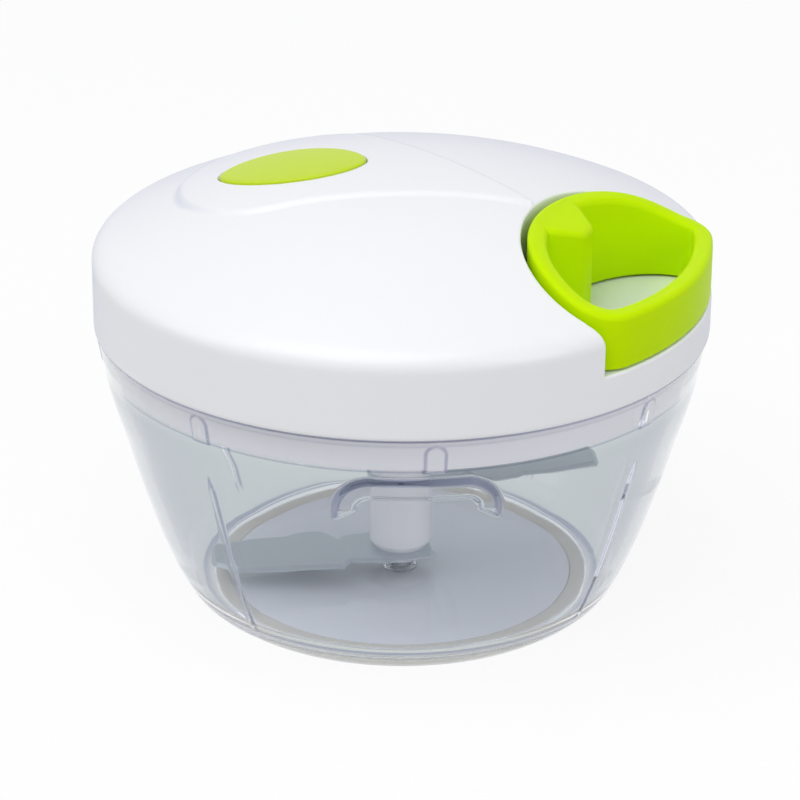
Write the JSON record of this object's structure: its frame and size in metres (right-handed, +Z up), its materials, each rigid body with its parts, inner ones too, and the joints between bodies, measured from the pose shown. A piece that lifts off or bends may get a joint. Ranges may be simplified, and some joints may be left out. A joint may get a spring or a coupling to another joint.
{
  "type": "pull cord food chopper",
  "caption": "Hand food chopper: clear tapered bowl, white domed lid and a green pull ring on a cord that spins a drum and a blade set.",
  "frame": {"origin": "centre of the flat resting face under the foot", "axes": "+Z up through the blade axis, +X along the pull of the ring"},
  "size_m": [0.128, 0.128, 0.0933],
  "materials": {
    "clear_plastic": "clear gloss",
    "white_plastic": "satin gloss",
    "green_plastic": "satin gloss",
    "bearing_plastic": "moulded",
    "foot_rubber": "matt",
    "seal_rubber": "matt",
    "steel": "brushed",
    "spring_steel": "rolled",
    "cord": "braided"
  },
  "bodies": {
    "bowl": {"bowl": "clear_plastic", "non_slip_foot": "foot_rubber", "bowl_pin": "steel"},
    "blades": {"blade_post": "white_plastic", "lower_blade": "steel", "upper_blade": "steel"},
    "lid": {"lid_shell": "white_plastic", "oval_cap": "green_plastic", "lid_base": "white_plastic", "lid_seal": "seal_rubber", "drive_bush": "bearing_plastic", "cord_outlet": "bearing_plastic", "spring_case": "bearing_plastic", "spring_cover": "bearing_plastic", "return_spring": "spring_steel", "lid_screw_1": "steel", "lid_screw_2": "steel", "lid_screw_3": "steel", "lid_screw_4": "steel", "case_screw_1": "steel", "case_screw_2": "steel", "case_screw_3": "steel"},
    "drum": {"cord_drum": "bearing_plastic", "wound_cord": "cord", "drum_knot": "cord", "drum_washer": "steel", "arbor_screw": "steel"},
    "handle": {"pull_ring": "green_plastic", "ring_knot": "cord", "cord_run": "cord"}
  },
  "joints": [
    {"name": "lid_lift", "type": "slide", "parent": "bowl", "child": "lid", "axis": [0, 0, 1], "range_m": [0, 0.05]},
    {"name": "blade_spin", "type": "hinge", "parent": "bowl", "child": "blades", "pos_m": [0, 0, 0.01], "axis": [0, 0, 1], "continuous": true},
    {"name": "handle_pull", "type": "slide", "parent": "lid", "child": "handle", "axis": [1, 0, 0], "range_m": [0, 0.45], "stiffness_N_per_m": 10, "springref_m": -0.2, "deforming": ["cord_run"]},
    {"name": "drum_spin", "type": "hinge", "parent": "lid", "child": "drum", "pos_m": [0, 0, 0.07], "axis": [0, 0, 1], "range_deg": [0, 1530]}
  ],
  "couplings": [
    {"joint": "drum_spin", "follows": "handle_pull", "rad_per_m": 59.172},
    {"joint": "blade_spin", "follows": "handle_pull", "rad_per_m": 59.172}
  ]
}
